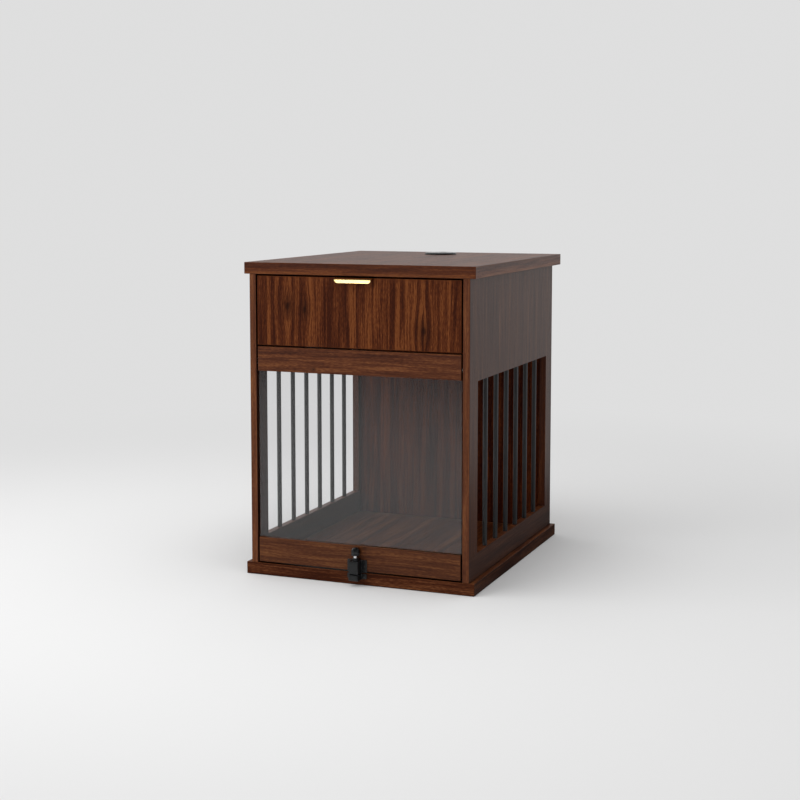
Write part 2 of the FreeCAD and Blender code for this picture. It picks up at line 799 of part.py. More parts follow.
def grommet_cap():
    """A flat cap with a notch for a cord, at the back."""
    cap = cylinder(cap_radius, (0, grommet_y, cap_bottom_z), (0, 0, 1), cap_thickness)
    rim = [edge for edge in cap.Edges if edge.BoundBox.ZMin > grommet_top_z - 1e-6]
    cap = cap.makeFillet(cap_edge_round, rim)
    half = cap_notch_width / 2
    inner_y = grommet_y + cap_radius - cap_notch_length
    notch = box(-half, half, inner_y, grommet_y + cap_radius + 1, cap_bottom_z - 1, grommet_top_z + 1)
    end = cylinder(half, (0, inner_y, cap_bottom_z - 1), (0, 0, 1), cap_thickness + 2)
    return cap.cut([notch, end])


def compound(solids):
    return Part.makeCompound(solids)


def pair(shape):
    return [shape, mirrored(shape)]


def parts():
    """Every piece by its name."""
    right = side_panel()
    bars = side_bars()
    made = {
        "top_board": top_board(),
        "base_board": base_board(),
        "side_panel_right": right,
        "side_panel_left": mirrored(right),
        "back_panel": back_panel(),
        "divider_panel": divider_panel(),
        "side_bars_right": compound(bars),
        "side_bars_left": compound([mirrored(bar) for bar in bars]),
        "wooden_dowels": compound(dowels()),
        "cam_bolts": compound([cam_bolt(joint, into) for joint, into, out in cam_places()]),
        "cam_locks": compound([cam_lock(*place) for place in cam_places()]),
        "base_screws": compound(screw_set(panel_screw_places(), (0, 0, 1), panel_screw)[0]),
        "grommet_sleeve": grommet_sleeve(),
        "grommet_cap": grommet_cap(),
        "drawer_front": drawer_front(),
        "drawer_pull": drawer_pull(),
        "drawer_pull_screws": compound(pull_screw_set()[0]),
        "drawer_subfront": drawer_subfront(),
        "drawer_back": drawer_back(),
        "drawer_bottom": drawer_bottom(),
        "drawer_box_screws": compound(box_screw_set()[0]),
        "drawer_front_screws": compound(front_screw_set()[0]),
        "door_top_rail": door_top_rail(),
        "door_bottom_rail": door_bottom_rail(),
        "door_pane": pane(),
        "door_pane_screws": compound(pane_screw_set()[0]),
        "door_pivot_bushings": compound(pair(pivot_bushing())),
        "door_pivot_pins": compound(pair(pivot_pin())),
        "latch_body": latch_body(),
        "latch_screws": compound(latch_screw_set()[0]),
        "latch_keeper": latch_keeper(),
        "latch_keeper_screws": compound(keeper_screw_set()[0]),
        "latch_bolt": latch_bolt(),
        "latch_knob": latch_knob(),
        "track_screws": compound(both_sides(track_screw_set)[0]),
        "slide_outer_screws": compound(both_sides(slide_outer_screw_set)[0]),
        "slide_inner_screws": compound(both_sides(slide_inner_screw_set)[0]),
    }
    right_hand = {
        "drawer_side": drawer_side(),
        "slide_outer": slide_outer(),
        "slide_middle": slide_middle(),
        "slide_inner": slide_inner(),
        "door_track": door_track(),
        "door_carriage": door_carriage(),
    }
    for name, shape in right_hand.items():
        made[name + "_right"] = shape
        made[name + "_left"] = mirrored(shape)
    return made


os.makedirs("parts", exist_ok=True)
for name, shape in parts().items():
    print(name, len(shape.Solids), shape.isValid(), round(shape.Volume / 1000, 2), "cm3")
    shape.exportStep("parts/" + name + ".step")
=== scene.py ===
import math
import bmesh
import bpy
import numpy as np
from mathutils import Matrix, Vector


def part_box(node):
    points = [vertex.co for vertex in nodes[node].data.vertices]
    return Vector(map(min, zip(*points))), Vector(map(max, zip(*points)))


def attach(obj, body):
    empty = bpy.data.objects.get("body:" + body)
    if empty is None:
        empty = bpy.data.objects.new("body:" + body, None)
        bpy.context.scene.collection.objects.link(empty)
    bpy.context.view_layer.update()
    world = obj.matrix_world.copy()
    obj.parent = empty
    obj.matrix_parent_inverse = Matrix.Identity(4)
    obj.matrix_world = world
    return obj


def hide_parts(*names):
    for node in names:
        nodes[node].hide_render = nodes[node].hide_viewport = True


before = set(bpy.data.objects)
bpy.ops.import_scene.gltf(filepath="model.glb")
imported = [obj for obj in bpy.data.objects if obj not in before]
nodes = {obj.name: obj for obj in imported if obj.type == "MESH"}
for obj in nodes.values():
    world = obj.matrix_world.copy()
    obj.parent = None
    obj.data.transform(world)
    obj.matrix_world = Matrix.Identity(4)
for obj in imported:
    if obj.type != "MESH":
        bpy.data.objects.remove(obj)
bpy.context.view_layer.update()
print("frame loaded with", len(nodes), "nodes")


# Small helpers for shader nodes: a value is either a plain number, a colour or another node's output

def feed(tree, socket, value):
    if isinstance(value, bpy.types.NodeSocket):
        tree.links.new(value, socket)
    else:
        socket.default_value = value


def calc(tree, operation, *values):
    node = tree.nodes.new("ShaderNodeMath")
    node.operation = operation
    for socket, value in zip(node.inputs, values):
        feed(tree, socket, value)
    return node.outputs[0]


def vectorCalc(tree, operation, *values):
    node = tree.nodes.new("ShaderNodeVectorMath")
    node.operation = operation
    for socket, value in zip(node.inputs, values):
        feed(tree, socket, value)
    single = operation in ("DOT_PRODUCT", "LENGTH", "DISTANCE")
    return node.outputs["Value" if single else "Vector"]


def joinAxes(tree, x, y, z):
    node = tree.nodes.new("ShaderNodeCombineXYZ")
    for socket, value in zip(node.inputs, (x, y, z)):
        feed(tree, socket, value)
    return node.outputs[0]


def splitAxes(tree, vector):
    node = tree.nodes.new("ShaderNodeSeparateXYZ")
    feed(tree, node.inputs[0], vector)
    return node.outputs


def noise(tree, vector, scale, detail=2.0, roughness=0.5):
    node = tree.nodes.new("ShaderNodeTexNoise")
    for label, value in (("Vector", vector), ("Scale", scale), ("Detail", detail), ("Roughness", roughness)):
        feed(tree, node.inputs[label], value)
    return node.outputs[0]


def remap(tree, value, low, high, toLow=0.0, toHigh=1.0, shape="SMOOTHSTEP"):
    node = tree.nodes.new("ShaderNodeMapRange")
    node.interpolation_type = shape
    for socket, number in zip(node.inputs, (value, low, high, toLow, toHigh)):
        feed(tree, socket, number)
    return node.outputs[0]


def blendColors(tree, factor, first, second, way="MIX"):
    node = tree.nodes.new("ShaderNodeMix")
    node.data_type = "RGBA"
    node.blend_type = way
    for place, value in ((0, factor), (6, first), (7, second)):
        feed(tree, node.inputs[place], value)
    return node.outputs[2]


def spread3(tree, value):  # the same value on all three axes or colour channels
    return joinAxes(tree, value, value, value)


def pickWay(tree, mask, usual, other):  # the other direction where the mask is 1
    kept = vectorCalc(tree, "MULTIPLY", usual, spread3(tree, calc(tree, "SUBTRACT", 1.0, mask)))
    return vectorCalc(tree, "ADD", kept, vectorCalc(tree, "MULTIPLY", other, spread3(tree, mask)))


def newGroup(name, inputs, outputs):
    tree = bpy.data.node_groups.new(name, "ShaderNodeTree")
    for label, kind, value in inputs:
        socket = tree.interface.new_socket(name=label, in_out="INPUT", socket_type="NodeSocket" + kind)
        socket.default_value = value
    for label, kind in outputs:
        tree.interface.new_socket(name=label, in_out="OUTPUT", socket_type="NodeSocket" + kind)
    return tree, tree.nodes.new("NodeGroupInput").outputs, tree.nodes.new("NodeGroupOutput").inputs


def useGroup(tree, group, **values):
    node = tree.nodes.new("ShaderNodeGroup")
    node.node_tree = group
    for label, value in values.items():
        feed(tree, node.inputs[label], value)
    return node.outputs


def hexColor(code):  # #rrggbb as the linear colour that a shader reads
    parts = [int(code[i:i + 2], 16) / 255 for i in (1, 3, 5)]
    return [p / 12.92 if p <= 0.04045 else ((p + 0.055) / 1.055) ** 2.4 for p in parts] + [1.0]


# Boards: which way the grain runs on a face, and how far a point lies along and across it

def makeBoardAxes():
    tree, got, out = newGroup("boardAxes", [
        ("Position", "Vector", (0, 0, 0)), ("Normal", "Vector", (0, 0, 1)), ("Grain", "Vector", (0, 0, 1)),
    ], [("Along", "Float"), ("Across", "Float")])
    sideways = vectorCalc(tree, "ABSOLUTE", vectorCalc(tree, "CROSS_PRODUCT", got["Grain"], got["Normal"]))
    endGrain = calc(tree, "ABSOLUTE", vectorCalc(tree, "DOT_PRODUCT", got["Grain"], got["Normal"]))
    diagonal = vectorCalc(tree, "DOT_PRODUCT", got["Position"], (0.8, 0.9, 0.7))
    feed(tree, out["Along"], vectorCalc(tree, "DOT_PRODUCT", got["Position"], got["Grain"]))
    feed(tree, out["Across"], calc(tree, "ADD", vectorCalc(tree, "DOT_PRODUCT", got["Position"], sideways),
                                   calc(tree, "MULTIPLY", endGrain, diagonal)))
    return tree


# Walnut figure: joined staves of uneven width, slow colour change along them, streaks, and short dark pores

figureLook = {
    "wander": (2.2, 9.0, 0.022),      # how often the grain bends along and across, and how far
    "ripple": (16.0, 60.0, 0.0022),
    "slow": (4.5, 75.0, 1.35),        # how often a tone changes along and across, and how much it counts
    "streak": (8.0, 260.0, 1.9),
    "fleck": (95.0, 640.0, 0.19),
    "fine": (18.0, 1300.0, 0.22),
    "pores": (55.0, 1500.0, 0.28),
    "staveBlend": 0.22,
}


def makeWalnutFigure():
    tree, got, out = newGroup("walnutFigure", [
        ("Along", "Float", 0.0), ("Across", "Float", 0.0), ("Seed", "Float", 0.0),
        ("Stave Width", "Float", 0.018), ("Stave Share", "Float", 0.4), ("Contrast", "Float", 1.0),
        ("Deep", "Color", (0.02, 0.01, 0.005, 1)), ("Middle", "Color", (0.05, 0.02, 0.01, 1)),
        ("Light", "Color", (0.1, 0.05, 0.03, 1)),
    ], [("Color", "Color"), ("Roughness", "Float"), ("Height", "Float")])

    def sample(layer, across, offset, detail, roughness=0.5):
        alongScale, acrossScale = figureLook[layer][:2]
        spot = joinAxes(tree, calc(tree, "MULTIPLY", got["Along"], alongScale),
                        calc(tree, "MULTIPLY", across, acrossScale), calc(tree, "ADD", got["Seed"], offset))
        return noise(tree, spot, 1.0, detail, roughness)

    def centred(value, layer):
        return calc(tree, "MULTIPLY", calc(tree, "SUBTRACT", value, 0.5), figureLook[layer][2])

    wander = centred(sample("wander", got["Across"], 0.0, 1.0), "wander")
    ripple = centred(sample("ripple", got["Across"], 3.1, 2.0), "ripple")
    bent = calc(tree, "ADD", calc(tree, "ADD", got["Across"], wander), ripple)
    staves = tree.nodes.new("ShaderNodeTexVoronoi")
    staves.voronoi_dimensions = "1D"
    staves.feature = "SMOOTH_F1"
    feed(tree, staves.inputs["W"], calc(tree, "ADD", calc(tree, "DIVIDE", bent, got["Stave Width"]), got["Seed"]))
    feed(tree, staves.inputs["Scale"], 1.0)
    feed(tree, staves.inputs["Smoothness"], figureLook["staveBlend"])
    staveTone = splitAxes(tree, staves.outputs["Color"])[0]
    slow = sample("slow", bent, 7.0, 3.0)
    streak = sample("streak", bent, 11.0, 4.0, 0.62)
    fine = sample("fine", bent, 17.0, 2.0)
    pores = remap(tree, sample("pores", bent, 23.0, 1.0), 0.60, 0.72)
    fleck = remap(tree, sample("fleck", bent, 29.0, 2.0), 0.32, 0.68, -1.0, 1.0)
    spread = calc(tree, "ADD", centred(slow, "slow"), centred(streak, "streak"))
    spread = calc(tree, "ADD", spread, calc(tree, "MULTIPLY", fleck, figureLook["fleck"][2]))
    staveSpread = calc(tree, "MULTIPLY", calc(tree, "SUBTRACT", staveTone, 0.5), got["Stave Share"])
    tone = calc(tree, "ADD", calc(tree, "MULTIPLY", calc(tree, "ADD", spread, staveSpread), got["Contrast"]), 0.5)
    darkHalf = blendColors(tree, remap(tree, tone, 0.12, 0.5, shape="LINEAR"), got["Deep"], got["Middle"])
    body = blendColors(tree, remap(tree, tone, 0.5, 0.88, shape="LINEAR"), darkHalf, got["Light"])
    shade = calc(tree, "ADD", calc(tree, "MULTIPLY", fine, figureLook["fine"][2]), 0.89)
    shade = calc(tree, "MULTIPLY", shade, calc(tree, "SUBTRACT", 1.0, calc(tree, "MULTIPLY", pores,
                                                                           figureLook["pores"][2])))
    feed(tree, out["Color"], blendColors(tree, 1.0, body, spread3(tree, shade), "MULTIPLY"))
    feed(tree, out["Roughness"], calc(tree, "ADD", calc(tree, "MULTIPLY", streak, -0.14),
                                      calc(tree, "ADD", calc(tree, "MULTIPLY", pores, 0.12), 0.50)))
    feed(tree, out["Height"], calc(tree, "SUBTRACT", calc(tree, "MULTIPLY", fine, 0.35), pores))
    return tree


# Knot: a dark eye in the wood that pushes the grain apart round it

def makeKnotMark():
    tree, got, out = newGroup("knotMark", [
        ("Along", "Float", 0.0), ("Across", "Float", 0.0), ("Knot Along", "Float", 0.0),
        ("Knot Across", "Float", 0.0), ("Size", "Float", 0.006), ("Push", "Float", 0.004),
    ], [("Across", "Float"), ("Mask", "Float")])
    up = calc(tree, "SUBTRACT", got["Along"], got["Knot Along"])
    over = calc(tree, "SUBTRACT", got["Across"], got["Knot Across"])
    reach = calc(tree, "SQRT", calc(tree, "ADD", calc(tree, "POWER", calc(tree, "MULTIPLY", up, 0.62), 2.0),
                                    calc(tree, "POWER", over, 2.0)))
    nearness = remap(tree, reach, 0.0, calc(tree, "MULTIPLY", got["Size"], 3.2), 1.0, 0.0)
    feed(tree, out["Across"], calc(tree, "SUBTRACT", got["Across"],
                                   calc(tree, "MULTIPLY", calc(tree, "MULTIPLY", calc(tree, "SIGN", over), nearness),
                                        got["Push"])))
    eye = remap(tree, reach, calc(tree, "MULTIPLY", got["Size"], 0.1), calc(tree, "MULTIPLY", got["Size"], 0.75),
                1.0, 0.0)
    halo = remap(tree, reach, 0.0, calc(tree, "MULTIPLY", got["Size"], 1.9), 0.55, 0.0)
    feed(tree, out["Mask"], calc(tree, "MAXIMUM", eye, halo))
    return tree


# Edge highlight: painted highlight along edges, as if rounded edges caught the light; it compares the true normal
# with one averaged over a small radius, so it finds edges on any mesh

def makeEdgeHighlight():
    tree, got, out = newGroup("edgeHighlight", [
        ("Radius", "Float", 0.0012), ("Strength", "Float", 1.0), ("Breakup", "Float", 90.0),
    ], [("Mask", "Float")])
    soft = tree.nodes.new("ShaderNodeBevel")
    soft.samples = 6
    feed(tree, soft.inputs["Radius"], got["Radius"])
    geometry = tree.nodes.new("ShaderNodeNewGeometry")
    place = tree.nodes.new("ShaderNodeTexCoord")
    turn = calc(tree, "SUBTRACT", 1.0,
                vectorCalc(tree, "DOT_PRODUCT", soft.outputs[0], geometry.outputs["True Normal"]))
    patchy = remap(tree, noise(tree, place.outputs["Object"], got["Breakup"], 3.0), 0.35, 0.65, 0.35, 1.0)
    feed(tree, out["Mask"], calc(tree, "MULTIPLY", calc(tree, "MULTIPLY", remap(tree, turn, 0.01, 0.2), patchy),
                                 got["Strength"]))
    return tree


# Crevice: darkens what lies deep in a gap or under an overhang

def makeCreviceShade():
    tree, got, out = newGroup("creviceShade", [
        ("Reach", "Float", 0.008), ("Depth", "Float", 0.8),
    ], [("Shade", "Float")])
    openness = tree.nodes.new("ShaderNodeAmbientOcclusion")
    openness.samples = 8
    feed(tree, openness.inputs["Distance"], got["Reach"])
    feed(tree, out["Shade"], calc(tree, "SUBTRACT", 1.0, calc(tree, "MULTIPLY", got["Depth"], remap(
        tree, openness.outputs["AO"], 0.15, 0.8, 1.0, 0.0))))
    return tree


# Fine surface: brushed or moulded texture, stretched along one axis, with a slow change in gloss

def makeFineSurface():
    tree, got, out = newGroup("fineSurface", [
        ("Stretch", "Vector", (1, 1, 1)), ("Scale", "Float", 900.0), ("Base", "Float", 0.4), ("Spread", "Float", 0.1),
    ], [("Roughness", "Float"), ("Height", "Float"), ("Shade", "Float")])
    place = tree.nodes.new("ShaderNodeTexCoord")
    stretched = vectorCalc(tree, "MULTIPLY", place.outputs["Object"], got["Stretch"])
    grain = noise(tree, stretched, got["Scale"], 2.0)
    cloud = noise(tree, place.outputs["Object"], 22.0, 3.0)
    centred = calc(tree, "SUBTRACT", calc(tree, "ADD", grain, cloud), 1.0)
    feed(tree, out["Roughness"], calc(tree, "ADD", calc(tree, "MULTIPLY", centred, got["Spread"]), got["Base"]))
    feed(tree, out["Height"], grain)
    feed(tree, out["Shade"], calc(tree, "ADD", calc(tree, "MULTIPLY", grain, 0.16), 0.92))
    return tree


boardAxes = makeBoardAxes()
walnutFigure = makeWalnutFigure()
knotMark = makeKnotMark()
edgeHighlight = makeEdgeHighlight()
creviceShade = makeCreviceShade()
fineSurface = makeFineSurface()
print("shader groups made")


# Materials

def newMaterial(name):
    material = bpy.data.materials.new(name)
    material.use_nodes = True
    tree = material.node_tree
    return material, tree, tree.nodes["Principled BSDF"]


def bumpFrom(tree, height, strength, distance):
    node = tree.nodes.new("ShaderNodeBump")
    feed(tree, node.inputs["Strength"], strength)
    feed(tree, node.inputs["Distance"], distance)
    feed(tree, node.inputs["Height"], height)
    return node.outputs[0]


walnut = {
    "deep": "#371709",
    "middle": "#532a14",
    "light": "#734424",
    "knot": "#1c0904",
    # edge: colour of the painted highlight along the board edges
    "edge": "#7d4e2e",
    "gloss": 0.15,
    "bumpHeight": 0.00012,
    "faceTurn": 0.7,       # a face counts as front or side where its normal leans this far that way
    "edgeBandY": 0.29,     # facing faces nearer the middle than this lie inside the crate
    "knotPush": 0.45,
    "knotDepth": 0.85,
    "highlightRadius": 0.0011,
    "highlightStrength": 0.4,
    "creviceReach": 0.008,
    "creviceDepth": 0.95,
}


def walnutMaterial(name, grain, seed, staveWidth, staveShare=0.55, contrast=1.0, knots=(), edgeGrain=None,
                   sillTop=None, tint=(1, 1, 1), edgeTint=(1, 1, 1), paintedSideShade=(1, 1, 1), paintedSillShade=(1, 1, 1),
                   paintedInsideShade=(1, 1, 1), gloss=walnut["gloss"]):
    material, tree, shader = newMaterial(name)
    place = tree.nodes.new("ShaderNodeTexCoord").outputs["Object"]
    normal = tree.nodes.new("ShaderNodeNewGeometry").outputs["True Normal"]
    facing = calc(tree, "GREATER_THAN", calc(tree, "ABSOLUTE", splitAxes(tree, normal)[1]), walnut["faceTurn"])
    sideways = calc(tree, "GREATER_THAN", calc(tree, "ABSOLUTE", splitAxes(tree, normal)[0]), walnut["faceTurn"])
    low = calc(tree, "LESS_THAN", splitAxes(tree, place)[2], sillTop or 0.0)
    direction = grain
    if edgeGrain:  # front and back edges of a board are banded with grain along the edge
        direction = pickWay(tree, facing, grain, edgeGrain)
    inside = strip = 0.0
    if sillTop:  # the strip under a side window runs from front to back
        # this strip is darkened further down: painted shade low on the side panel
        strip = calc(tree, "MULTIPLY", low, sideways)
        # faces turned inwards and facing faces deep in the crate are darkened further down: painted shade inside the
        # crate
        inwards = calc(tree, "LESS_THAN", calc(tree, "MULTIPLY", splitAxes(tree, normal)[0],
                                               splitAxes(tree, place)[0]), -0.1)
        deep = calc(tree, "LESS_THAN", calc(tree, "ABSOLUTE", splitAxes(tree, place)[1]), walnut["edgeBandY"])
        inside = calc(tree, "MAXIMUM", inwards, calc(tree, "MULTIPLY", facing, deep))
        facing = calc(tree, "MULTIPLY", facing, calc(tree, "SUBTRACT", 1.0, deep))
        direction = pickWay(tree, strip, grain, frontToBack)
    axes = useGroup(tree, boardAxes, Position=place, Normal=normal, Grain=direction)
    across = axes["Across"]
    dark = 0.0
    for knotAlong, knotAcross, size in knots:
        mark = useGroup(tree, knotMark, Along=axes["Along"], Across=across,
                        **{"Knot Along": knotAlong, "Knot Across": knotAcross, "Size": size,
                           "Push": size * walnut["knotPush"]})
        across = mark["Across"]
        dark = calc(tree, "MAXIMUM", dark, mark["Mask"])
    figure = useGroup(tree, walnutFigure, Along=axes["Along"], Across=across, Seed=seed, Contrast=contrast,
                      Deep=hexColor(walnut["deep"]), Middle=hexColor(walnut["middle"]),
                      Light=hexColor(walnut["light"]),
                      **{"Stave Width": staveWidth, "Stave Share": staveShare})
    color = figure["Color"]
    if knots:
        color = blendColors(tree, calc(tree, "MULTIPLY", dark, walnut["knotDepth"]), color, hexColor(walnut["knot"]))
    # painted highlight: the board edges are lightened with the edge colour
    highlight = useGroup(tree, edgeHighlight, Radius=walnut["highlightRadius"], Strength=walnut["highlightStrength"], Breakup=70.0)
    color = blendColors(tree, highlight["Mask"], color, hexColor(walnut["edge"]))
    crevice = useGroup(tree, creviceShade, Reach=walnut["creviceReach"], Depth=walnut["creviceDepth"])["Shade"]
    color = blendColors(tree, 1.0, color, spread3(tree, crevice), "MULTIPLY")
    # side faces, the strip under the side windows and the faces inside the crate are darkened here: painted shade
    tints = ((1.0, tint), (facing, edgeTint), (sideways, paintedSideShade), (strip, paintedSillShade), (inside, paintedInsideShade))
    for mask, shade in tints:
        if shade != (1, 1, 1):
            color = blendColors(tree, mask, color, list(shade) + [1.0], "MULTIPLY")
    feed(tree, shader.inputs["Base Color"], color)
    feed(tree, shader.inputs["Roughness"], figure["Roughness"])
    feed(tree, shader.inputs["Specular IOR Level"], gloss)
    feed(tree, shader.inputs["Normal"], bumpFrom(tree, figure["Height"], 0.5, walnut["bumpHeight"]))
    return material


def plainMaterial(name, color, metallic=0.0, rough=0.4, spread=0.1, stretch=(1, 1, 1), scale=900.0, bump=0.00005,
                  edge=None, gloss=0.5):
    material, tree, shader = newMaterial(name)
    fine = useGroup(tree, fineSurface, Stretch=stretch, Scale=scale, Base=rough, Spread=spread)
    tinted = blendColors(tree, 1.0, hexColor(color), spread3(tree, fine["Shade"]), "MULTIPLY")
    # edge: colour of a painted highlight along the part's edges
    if edge:
        highlight = useGroup(tree, edgeHighlight, Radius=0.0009, Strength=0.5, Breakup=300.0)
        tinted = blendColors(tree, highlight["Mask"], tinted, hexColor(edge))
    feed(tree, shader.inputs["Base Color"], tinted)
    feed(tree, shader.inputs["Roughness"], fine["Roughness"])
    feed(tree, shader.inputs["Metallic"], metallic)
    feed(tree, shader.inputs["Specular IOR Level"], gloss)
    feed(tree, shader.inputs["Normal"], bumpFrom(tree, fine["Height"], 0.4, bump))
    return material


def paleWoodMaterial(name, light, dark, grain):
    material, tree, shader = newMaterial(name)
    place = tree.nodes.new("ShaderNodeTexCoord").outputs["Object"]
    normal = tree.nodes.new("ShaderNodeNewGeometry").outputs["True Normal"]
    axes = useGroup(tree, boardAxes, Position=place, Normal=normal, Grain=grain)
    figure = useGroup(tree, walnutFigure, Along=axes["Along"], Across=axes["Across"], Seed=31.0, Contrast=0.8,
                      Deep=hexColor(dark), Middle=hexColor(light), Light=hexColor(light),
                      **{"Stave Width": 0.06, "Stave Share": 0.25})
    feed(tree, shader.inputs["Base Color"], figure["Color"])
    feed(tree, shader.inputs["Roughness"], figure["Roughness"])
    feed(tree, shader.inputs["Normal"], bumpFrom(tree, figure["Height"], 0.4, walnut["bumpHeight"]))
    return material


pane = {"color": "#f0f0f1", "ior": 1.49, "smear": 0.005, "lampLight": 0.6}


def paneMaterial():
    material, tree, shader = newMaterial("clearPane")
    fine = useGroup(tree, fineSurface, Scale=140.0, Base=pane["smear"], Spread=pane["smear"])
    feed(tree, shader.inputs["Base Color"], hexColor(pane["color"]))
    feed(tree, shader.inputs["Roughness"], fine["Roughness"])
    feed(tree, shader.inputs["IOR"], pane["ior"])
    feed(tree, shader.inputs["Transmission Weight"], 1.0)
    clear = tree.nodes.new("ShaderNodeBsdfTransparent")  # lets lamp light through to the crate
    feed(tree, clear.inputs[0], [pane["lampLight"]] * 3 + [1.0])
    rays = tree.nodes.new("ShaderNodeLightPath")
    either = tree.nodes.new("ShaderNodeMixShader")
    feed(tree, either.inputs[0], rays.outputs["Is Shadow Ray"])
    tree.links.new(shader.outputs[0], either.inputs[1])
    tree.links.new(clear.outputs[0], either.inputs[2])
    tree.links.new(either.outputs[0], tree.nodes["Material Output"].inputs[0])
    return material


upright, sideToSide, frontToBack = (0, 0, 1), (1, 0, 0), (0, 1, 0)
materials = {
    "walnutDrawerFront": walnutMaterial("walnutDrawerFront", upright, 4.0, 0.0095, 0.6, 1.02, knots=(
        (0.588, -0.160, 0.015), (0.582, -0.121, 0.013), (0.545, 0.150, 0.015)), tint=(0.93, 0.82, 0.73),
        gloss=0.06),
    # walnutSides: the outer side faces, the strip under the windows and the inside faces carry painted shade
    "walnutSides": walnutMaterial("walnutSides", upright, 9.0, 0.016, 0.3, 0.6, sillTop=0.079,
                                  edgeTint=(1.2, 1.28, 1.34), paintedSideShade=(0.53, 0.53, 0.57),
                                  paintedSillShade=(0.85, 0.85, 0.9), paintedInsideShade=(0.6, 0.5, 0.4)),
    # walnutBack is darker and redder than the other walnut: partly the wood's own tone, partly painted shade of the
    # dim inside of the crate
    "walnutBack": walnutMaterial("walnutBack", upright, 15.0, 0.014, 0.5, 0.95, tint=(0.66, 0.46, 0.34), gloss=0.04),
    "walnutTopRail": walnutMaterial("walnutTopRail", sideToSide, 21.0, 0.014, 0.4, 0.85,
                                    knots=((-0.10, 0.4555, 0.004),)),
    "walnutBottomRail": walnutMaterial("walnutBottomRail", sideToSide, 27.0, 0.015, 0.4, 0.7, tint=(0.93, 1, 1),
                                       knots=((0.018, 0.0825, 0.007),)),
    "walnutTop": walnutMaterial("walnutTop", frontToBack, 33.0, 0.022, 0.35, 0.7, edgeGrain=sideToSide,
                                edgeTint=(0.98, 0.88, 0.72)),
    # walnutBase: its side faces carry painted shade
    "walnutBase": walnutMaterial("walnutBase", frontToBack, 39.0, 0.018, 0.5, 1.0, edgeGrain=sideToSide,
                                 edgeTint=(0.99, 1.1, 1.42), paintedSideShade=(0.5, 0.53, 0.6), gloss=0.03),
    "drawerWood": paleWoodMaterial("drawerWood", "#c7a27a", "#a57c52", frontToBack),
    "drawerWoodAcross": paleWoodMaterial("drawerWoodAcross", "#c7a27a", "#a57c52", sideToSide),
    "dowelWood": paleWoodMaterial("dowelWood", "#d6b486", "#b78f5e", upright),
    # the edge colours below are painted highlights along the edges
    "blackBars": plainMaterial("blackBars", "#161718", 0.0, 0.42, 0.08, scale=700.0, edge="#3c3d3f"),
    "blackLatch": plainMaterial("blackLatch", "#101112", 0.0, 0.34, 0.1, scale=900.0, edge="#96979b", gloss=0.35),
    "blackScrews": plainMaterial("blackScrews", "#161718", 0.0, 0.34, 0.1, scale=900.0, edge="#4c4d50"),
    "brassPull": plainMaterial("brassPull", "#e6c684", 1.0, 0.19, 0.1, (0.05, 1, 1), 1600.0, edge="#f0d59a"),
    "zincScrews": plainMaterial("zincScrews", "#b9bbbf", 1.0, 0.34, 0.1, scale=1200.0),
    "slideSteel": plainMaterial("slideSteel", "#bfc1c4", 1.0, 0.3, 0.1, (1, 0.04, 1), 1100.0),
    "boltSteel": plainMaterial("boltSteel", "#d2d3d5", 1.0, 0.2, 0.08, (1, 1, 0.05), 1400.0),
    "trackAluminium": plainMaterial("trackAluminium", "#c9cbcd", 1.0, 0.38, 0.1, (1, 0.04, 1), 1000.0),
    "darkNylon": plainMaterial("darkNylon", "#29292a", 0.0, 0.5, 0.08, scale=500.0),
    "blackGrommet": plainMaterial("blackGrommet", "#242526", 0.0, 0.3, 0.1, scale=800.0, edge="#3c3d3f"),
    "clearPane": paneMaterial(),
}
finishes = {
    "walnutDrawerFront": ["drawer_front"],
    "walnutSides": ["side_panel_left", "side_panel_right"],
    "walnutBack": ["back_panel", "divider_panel"],
    "walnutTopRail": ["door_top_rail"],
    "walnutBottomRail": ["door_bottom_rail"],
    "walnutTop": ["top_board"],
    "walnutBase": ["base_board"],
    "drawerWood": ["drawer_side_left", "drawer_side_right", "drawer_bottom"],
    "drawerWoodAcross": ["drawer_subfront", "drawer_back"],
    "dowelWood": ["wooden_dowels"],
    "blackBars": ["side_bars_left", "side_bars_right"],
    "blackLatch": ["latch_body", "latch_keeper", "latch_knob"],
    "blackScrews": ["latch_screws", "latch_keeper_screws"],
    "brassPull": ["drawer_pull"],
    "zincScrews": ["cam_bolts", "cam_locks", "base_screws", "track_screws", "slide_outer_screws",
                   "slide_inner_screws", "drawer_pull_screws", "drawer_box_screws", "drawer_front_screws",
                   "door_pane_screws"],
    "slideSteel": ["slide_outer_left", "slide_outer_right", "slide_middle_left", "slide_middle_right",
                   "slide_inner_left", "slide_inner_right"],
    "boltSteel": ["latch_bolt", "door_pivot_pins"],
    "trackAluminium": ["door_track_left", "door_track_right"],
    "darkNylon": ["door_carriage_left", "door_carriage_right", "door_pivot_bushings"],
    "blackGrommet": ["grommet_sleeve", "grommet_cap"],
    "clearPane": ["door_pane"],
}
for finish, names in finishes.items():
    for node in names:
        nodes[node].data.materials.clear()
        nodes[node].data.materials.append(materials[finish])
print("materials on", sum(len(names) for names in finishes.values()), "nodes")


# Surfaces worked out as grids of points; a piece is one or more grids in one mesh

